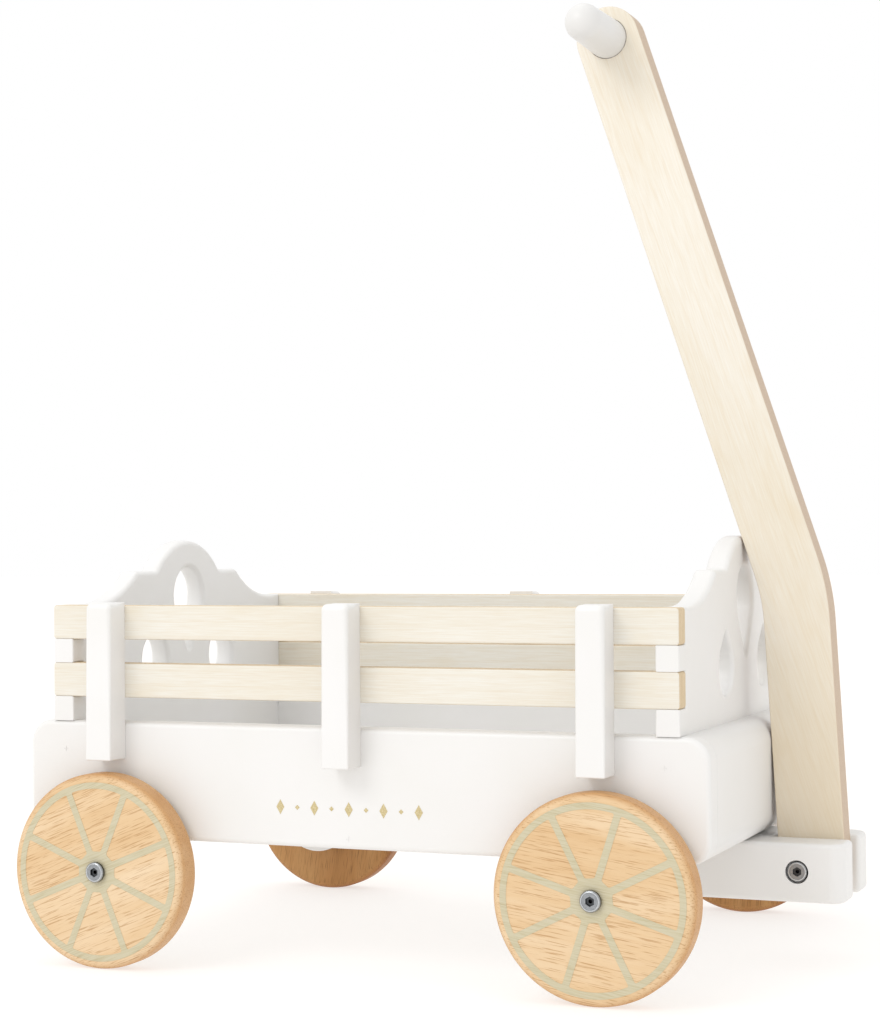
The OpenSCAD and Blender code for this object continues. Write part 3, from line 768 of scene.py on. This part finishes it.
for side, s in (("right", -1), ("left", 1)):
    for place_name in ("front", "middle", "rear"):
        node = "post_" + side + "_" + place_name
        lo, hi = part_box(node)
        back, out = (lo.y, hi.y) if s > 0 else (hi.y, lo.y)
        r, foot = 4 * MM, 1 * MM
        mid_y = (back + out) / 2
        if s > 0:
            pts = [(back, lo.z), (mid_y, lo.z)] + arc(out - foot, lo.z + foot, foot, 270, 360, 4)
            pts += arc(out - r, hi.z - r, r, 0, 90, 8) + [(mid_y, hi.z), (back, hi.z)]
        else:
            pts = [(mid_y, lo.z), (back, lo.z), (back, hi.z), (mid_y, hi.z)]
            pts += arc(out + r, hi.z - r, r, 90, 180, 8)
            pts += arc(out + foot, lo.z + foot, foot, 180, 270, 4)
        def nose(p):
            top_share = min(max((p[1] - lo.z) / (hi.z - lo.z), 0), 1)
            return (0.5 + (0.5 + 2.2 * top_share) * min(abs(p[0] - back) / (8 * MM), 1)) * MM

        bm = plate([pts], "yz", lo.x, hi.x, nose, nose)
        finish_piece(bm, node + "_sanded", white_post, "frame", [node])

# %% [markdown]
# ## Wheels
# A wheel is a lathe job: half a section, spun round the axle. The face is
# flat for the paint and the rim runs over in a full round.

# %% Wheels


def turned(centre, section, sides=128):
    """Spins (radius, y) points round an axle along Y; the ends sit on the axis or close up."""
    bm = bmesh.new()
    vs = [bm.verts.new((centre.x + r, y, centre.z)) for r, y in section]
    edges = [bm.edges.new((vs[i], vs[i + 1])) for i in range(len(vs) - 1)]
    bmesh.ops.spin(bm, geom=vs + edges, cent=(centre.x, 0, centre.z), axis=(0, 1, 0),
                   angle=math.tau, steps=sides, use_merge=True)
    bmesh.ops.remove_doubles(bm, verts=bm.verts[:], dist=1e-6)
    bmesh.ops.recalc_face_normals(bm, faces=bm.faces[:])
    return bm


RIM = 4.8 * MM
for corner in CORNERS:
    c, lo, hi = wheel_centre(corner)
    s = 1 if corner.endswith("left") else -1
    y_in, y_out = (lo.y, hi.y) if s > 0 else (hi.y, lo.y)
    radius = (hi.z - lo.z) / 2
    bore = 4.1 * MM
    rows = [(bore, y_in), (radius - RIM, y_in)]
    rows += [(radius - RIM + RIM * math.sin(a), y_in + s * RIM * (1 - math.cos(a)))
             for a in [math.radians(15 * i) for i in range(1, 7)]]
    rows += [(radius - RIM + RIM * math.cos(a), y_out - s * RIM * (1 - math.sin(a)))
             for a in [math.radians(15 * i) for i in range(0, 7)]]
    rows += [(bore, y_out), (bore, y_in)]
    bm = turned(c, rows)
    finish_piece(bm, "wheel_" + corner + "_turned", wheel_wood[corner],
                 "wheel_" + corner + "_body", ["wheel_" + corner], 40)

# %% [markdown]
# ## Painted ring and spokes
# The paint leaves eight windows of bare wood. Drawing the windows, with their
# rounded corners, is easier than drawing the spokes: they are the holes of a
# disc one coat thick.

# %% Ring and spokes
RING_OUT, RING_IN, HUB, SPOKE = 54.1 * MM, 50.3 * MM, 12.6 * MM, 4.1 * MM
SPOKE_TURN = {"front_right": 27, "front_left": 27, "rear_right": 22.5, "rear_left": 22.5}


def window(mid_deg):
    """A wood window between two spokes, corners rounded, as a loop round the hub."""
    def corner_points(p, before, after, r, steps=5):
        a = (Vector(before) - Vector(p)).normalized()
        b = (Vector(after) - Vector(p)).normalized()
        half = a.angle(b) / 2
        cut = r / math.tan(half)
        start, stop = Vector(p) + a * cut, Vector(p) + b * cut
        mid = Vector(p) + (a + b).normalized() * (r / math.sin(half))
        a0 = math.atan2(start.y - mid.y, start.x - mid.x)
        a1 = math.atan2(stop.y - mid.y, stop.x - mid.x)
        sweep = (a1 - a0 + math.pi) % math.tau - math.pi
        return [(mid.x + r * math.cos(a0 + sweep * i / steps),
                 mid.y + r * math.sin(a0 + sweep * i / steps)) for i in range(steps + 1)]

    half = math.radians(22.5)
    off_in = math.asin(SPOKE / 2 / HUB)
    off_out = math.asin(SPOKE / 2 / RING_IN)
    p1 = (HUB * math.cos(-half + off_in), HUB * math.sin(-half + off_in))
    p2 = (RING_IN * math.cos(-half + off_out), RING_IN * math.sin(-half + off_out))
    p3 = (p2[0], -p2[1])
    p4 = (p1[0], -p1[1])
    span = math.degrees(half - off_out) - 1.4
    rim = arc(0, 0, RING_IN, -span, span, 14)
    pts = corner_points(p1, p4, p2, 1.5 * MM)
    pts += corner_points(p2, p1, rim[0], 1.0 * MM) + rim + corner_points(p3, rim[-1], p4, 1.0 * MM)
    pts += corner_points(p4, p3, p1, 1.5 * MM)
    a = math.radians(mid_deg)
    return [(x * math.cos(a) - y * math.sin(a), x * math.sin(a) + y * math.cos(a)) for x, y in pts]


COAT = 0.2 * MM
for corner in CORNERS:
    c, lo, hi = wheel_centre(corner)
    s = 1 if corner.endswith("left") else -1
    face_y = hi.y if s > 0 else lo.y
    loops = [arc(c.x, c.z, RING_OUT, 0, 360, 144), arc(c.x, c.z, 4.2 * MM, 0, 360, 32)]
    for i in range(8):
        pts = window(SPOKE_TURN[corner] + 22.5 + 45 * i)
        loops.append([(c.x + x, c.z + z) for x, z in pts])
    bm = plate(loops, "xz", face_y - s * 0.05 * MM, face_y + s * COAT)
    finish_piece(bm, "wheel_paint_" + corner + "_coat", wheel_sage[corner],
                 "wheel_" + corner + "_body", ["wheel_paint_" + corner])

# %% [markdown]
# ## Axle bolts
# Low round heads with a hex socket. The head is turned with a bright chamfer
# round a flat disc, then the socket is carved with a six-sided cutter and a
# drill point at its bottom, which the zinc material paints dark as shade.

# %% Axle bolts and small steel


def bolt_head(rows, centre, head, s, sides=64):
    """Turns a bolt whose face lies at `head`, then cuts the socket into it."""
    bm = turned(centre, rows, sides)
    socket = rod((centre.x, head + s * 1 * MM, centre.z), (0, -s, 0), 2.89 * MM, 2.89 * MM, 2.6 * MM, 6)
    drill = rod((centre.x, head - s * 1 * MM, centre.z), (0, -s, 0), 1.3 * MM, 0.8 * MM, 2.6 * MM, 24)
    return carve(bm, [socket, drill])


for corner in CORNERS:
    lo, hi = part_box("axle_bolt_" + corner)
    c = (lo + hi) / 2
    s = 1 if corner.endswith("left") else -1
    tip, head = (lo.y, hi.y) if s > 0 else (hi.y, lo.y)
    under = head - s * 2.5 * MM
    rows = [(0, tip), (3.6 * MM, tip), (4 * MM, tip + s * 0.5 * MM), (4 * MM, under),
            (5.9 * MM, under), (6.2 * MM, under + s * 0.3 * MM), (6.2 * MM, head - s * 1.1 * MM),
            (6.05 * MM, head - s * 0.6 * MM), (5.7 * MM, head - s * 0.25 * MM),
            (5.25 * MM, head), (4.9 * MM, head), (4.7 * MM, head - s * 0.3 * MM),
            (0, head - s * 0.3 * MM)]
    bm = bolt_head(rows, c, head, s)
    finish_piece(bm, "axle_bolt_" + corner + "_head", zinc_axle, "frame",
                 ["axle_bolt_" + corner], 30)
for corner in CORNERS:
    for small in ("spacer_", "axle_nut_"):
        nodes[small + corner].material_slots[0].material = zinc

# %% [markdown]
# ## Drawbar fork
# A block with round front corners and a slot for the handle. The plan is
# drawn with the slot in it, raised to its height and rounded all over; then
# the bolt pockets are drilled.

# %% Fork
FORK_R, EDGE = 9.5 * MM, 2.8 * MM
slot_y, slot_x = 9.6 * MM, pivot.x - 21.8 * MM
pts = arc(fork_lo.x + EDGE, fork_lo.y + EDGE, EDGE, 180, 270, 4)
pts += arc(fork_hi.x - FORK_R, fork_lo.y + FORK_R, FORK_R, 270, 360, 10)
pts += arc(fork_hi.x - EDGE, -slot_y - EDGE, EDGE, 0, 90, 4) + [(slot_x, -slot_y), (slot_x, slot_y)]
pts += arc(fork_hi.x - EDGE, slot_y + EDGE, EDGE, 270, 360, 4)
pts += arc(fork_hi.x - FORK_R, fork_hi.y - FORK_R, FORK_R, 0, 90, 10)
pts += arc(fork_lo.x + EDGE, fork_hi.y - EDGE, EDGE, 90, 180, 4)
bm = plate([pts], "xy", fork_lo.z, fork_hi.z, EDGE, EDGE)
pockets = [rod((pivot.x, s * (fork_hi.y + 1 * MM), pivot.z), (0, -s, 0), 7 * MM, 7 * MM, 6.2 * MM)
           for s in (-1, 1)]
pockets += [rod((pivot.x, fork_lo.y - 1 * MM, pivot.z), (0, 1, 0), 4.05 * MM, 4.05 * MM, 90 * MM)]
bm = carve(bm, pockets)
finish_piece(bm, "drawbar_fork_sanded", white_long, "frame", ["drawbar_fork"])

# %% Pivot bolt and nut
for name, s in (("pivot_bolt", -1), ("pivot_nut", 1)):
    lo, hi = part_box(name)
    outer = hi.y if s > 0 else lo.y
    depth = 4.5 * MM
    inner = outer - s * depth
    far = (lo.y if s > 0 else hi.y)
    rows = [(0, far), (4 * MM, far), (4 * MM, inner)] if name == "pivot_bolt" else [(0, inner)]
    rows += [(5.8 * MM, inner), (6.1 * MM, inner + s * 0.3 * MM), (6.1 * MM, outer - s * 1.0 * MM),
             (5.9 * MM, outer - s * 0.5 * MM), (5.5 * MM, outer - s * 0.2 * MM),
             (5.1 * MM, outer), (4.7 * MM, outer), (4.5 * MM, outer - s * 0.3 * MM),
             (0, outer - s * 0.3 * MM)]
    bm = bolt_head(rows, pivot, outer, s)
    finish_piece(bm, name + "_head", zinc_pivot, "frame", [name], 30)

# %% [markdown]
# ## Handle
# The arm is cut from one sheet: a short lower part, a gentle bend and a long
# upper part that ends in a half circle round the grip. Its edges are sanded
# just enough to be kind to a hand.

# %% Arm
LOW, HIGH = math.radians(3.2), math.radians(18.4)
arm_r = 20.37 * MM
AHEAD = 3.1 * MM
bend_h, bend_r = 164.9 * MM, 130 * MM
bend_t = bend_r * math.tan((HIGH - LOW) / 2)
knee = Vector((-bend_h * math.tan(LOW), bend_h))
s1 = knee + Vector((math.sin(LOW), -math.cos(LOW))) * bend_t
mid = s1 - Vector((math.cos(LOW), math.sin(LOW))) * bend_r
top = Vector((grip.x - pivot.x - AHEAD, grip.z - pivot.z))


def arm_outline(hole):
    lo_deg, hi_deg = math.degrees(LOW), math.degrees(HIGH)
    cut = fork_hi.z - pivot.z - 1.5 * MM
    flat = math.degrees(math.asin(cut / arm_r))
    pts = arc(0, 0, arm_r, -flat, lo_deg, 8)
    pts += arc(mid.x, mid.y, bend_r + arm_r, lo_deg, hi_deg, 14)
    pts += arc(top.x, top.y, arm_r, hi_deg, 180 + hi_deg, 32)
    pts += arc(mid.x, mid.y, bend_r - arm_r, hi_deg, lo_deg, 14)
    pts += arc(0, 0, arm_r, 180 + lo_deg, 180 + flat, 8)
    shape = [(pivot.x + AHEAD + x, pivot.z + z) for x, z in pts]
    ring = arc(grip.x, grip.z, hole, 0, 360, 48)
    return [shape, ring, arc(pivot.x, pivot.z, 4.06 * MM, 0, 360, 32)]


def arm_round(p):
    return 0.3 * MM if math.dist(p, (grip.x, grip.z)) < 15 * MM else 0.9 * MM


bm = plate(arm_outline(12.75 * MM), "xz", arm_lo.y, arm_hi.y, arm_round, arm_round, 3)
finish_piece(bm, "handle_arm_sanded", birch_handle, "handle", ["handle_arm"])

# %% [markdown]
# ## Grip
# The peg is turned, a little thicker where it enters the arm, with a ball end
# on the right and a low button on the left, then painted white.

# %% Grip
BALL, NECK, BUTTON = 11.5 * MM, 12.5 * MM, 3 * MM
ball_y = peg_lo.y + BALL
rows = [(BALL * math.sin(math.radians(i * 7.5)), ball_y - BALL * math.cos(math.radians(i * 7.5)))
        for i in range(13)]
rows += [(NECK, arm_lo.y), (NECK, arm_hi.y)]
rows += arc(NECK - BUTTON, arm_hi.y, BUTTON, 30, 90, 2)
rows += [(0, arm_hi.y + BUTTON)]
bm = turned(grip, rows, 96)
finish_piece(bm, "grip_peg_turned", white_peg_shaded, "handle", ["grip_peg"], 50)

# %% [markdown]
# ## Screws
# Countersunk cross-head screws. Those in the side boards were painted over
# with the boards, those inside the tray stay bright. Each group is one piece
# because its screws never move apart.

# %% Screws


def screw(at, out, length, blade, depth):
    """A screw whose head lies on a surface at `at` and faces `out`."""
    bm = rod(Vector(at) - Vector(out) * MM, [-v for v in out], 2 * MM, 2 * MM, length - MM, 16)
    head = rod(Vector(at) - Vector(out) * 2 * MM, out, 2 * MM, 4 * MM, 2 * MM, 32)
    face = Vector(out).to_track_quat("Z", "Y").to_matrix()
    tools = []
    for size in (blade, blade[::-1]):
        tool = bmesh.new()
        bmesh.ops.create_cube(tool, size=1.0)
        bmesh.ops.scale(tool, verts=tool.verts[:], vec=(size[0] * MM, size[1] * MM, 2 * depth))
        bmesh.ops.rotate(tool, verts=tool.verts[:], cent=(0, 0, 0), matrix=face)
        bmesh.ops.translate(tool, verts=tool.verts[:], vec=at)
        tools.append(tool)
    head = carve(head, tools)
    return [bm, head]


def join(parts):
    """Puts several bmeshes into one."""
    whole = bmesh.new()
    for part in parts:
        me = bpy.data.meshes.new("part")
        part.to_mesh(me)
        part.free()
        whole.from_mesh(me)
        bpy.data.meshes.remove(me)
    return whole


def screw_group(name, places, out, length, material, node, blade=(4.4, 1.1), depth=0.8 * MM):
    parts = [part for at in places for part in screw(at, out, length, blade, depth)]
    return finish_piece(join(parts), name, material, "frame", [node], 30)


for side, s in (("right", -1), ("left", 1)):
    spots = [(x, s * half_w, z) for x, z in screw_spots(side)]
    screw_group("side_screws_" + side + "_painted", spots, (0, s, 0), 20 * MM, white_long,
                "side_screws_" + side, (3.2, 0.45), 0.25 * MM)
lo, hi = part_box("drawbar_screws")
top_of_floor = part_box("floor_panel")[1].z
spots = [(x, y, top_of_floor) for x in (lo.x + 4 * MM, hi.x - 4 * MM)
         for y in (lo.y + 4 * MM, hi.y - 4 * MM)]
screw_group("drawbar_screws_heads", spots, (0, 0, 1), 30 * MM, zinc, "drawbar_screws")

# %% [markdown]
# ## Gilt ornament
# A plain row of small gilt diamonds decorates the right side board.

# %% Ornament
m, t, shader, coords = new_material("gilt_paint")
speck = add(t, "ShaderNodeTexNoise", inputs={
    "Vector": coords.outputs["Object"], "Scale": 1100.0, "Detail": 2.0})
tone = ramp(t, speck.outputs["Fac"], [(0.3, "#D8CBA2"), (0.7, "#BBA877")])
t.links.new(tone, shader.inputs["Base Color"])
shader.inputs["Metallic"].default_value = 0.25
shader.inputs["Roughness"].default_value = 0.45
COUNT, PITCH = 9, 11.2 * MM
z = board_z + 23.5 * MM
diamonds = []
for i in range(COUNT):
    x = mid_x + (i - COUNT // 2) * PITCH
    h, w = (4.4 * MM, 2.6 * MM) if i % 2 == 0 else (1.5 * MM, 1.5 * MM)
    pts = [(x - w, z), (x, z - h), (x + w, z), (x, z + h)]
    diamonds.append(plate([pts], "xz", -half_w + 0.05 * MM, -half_w - 0.12 * MM))
finish_piece(join(diamonds), "gilt_ornament", m, "frame", ())
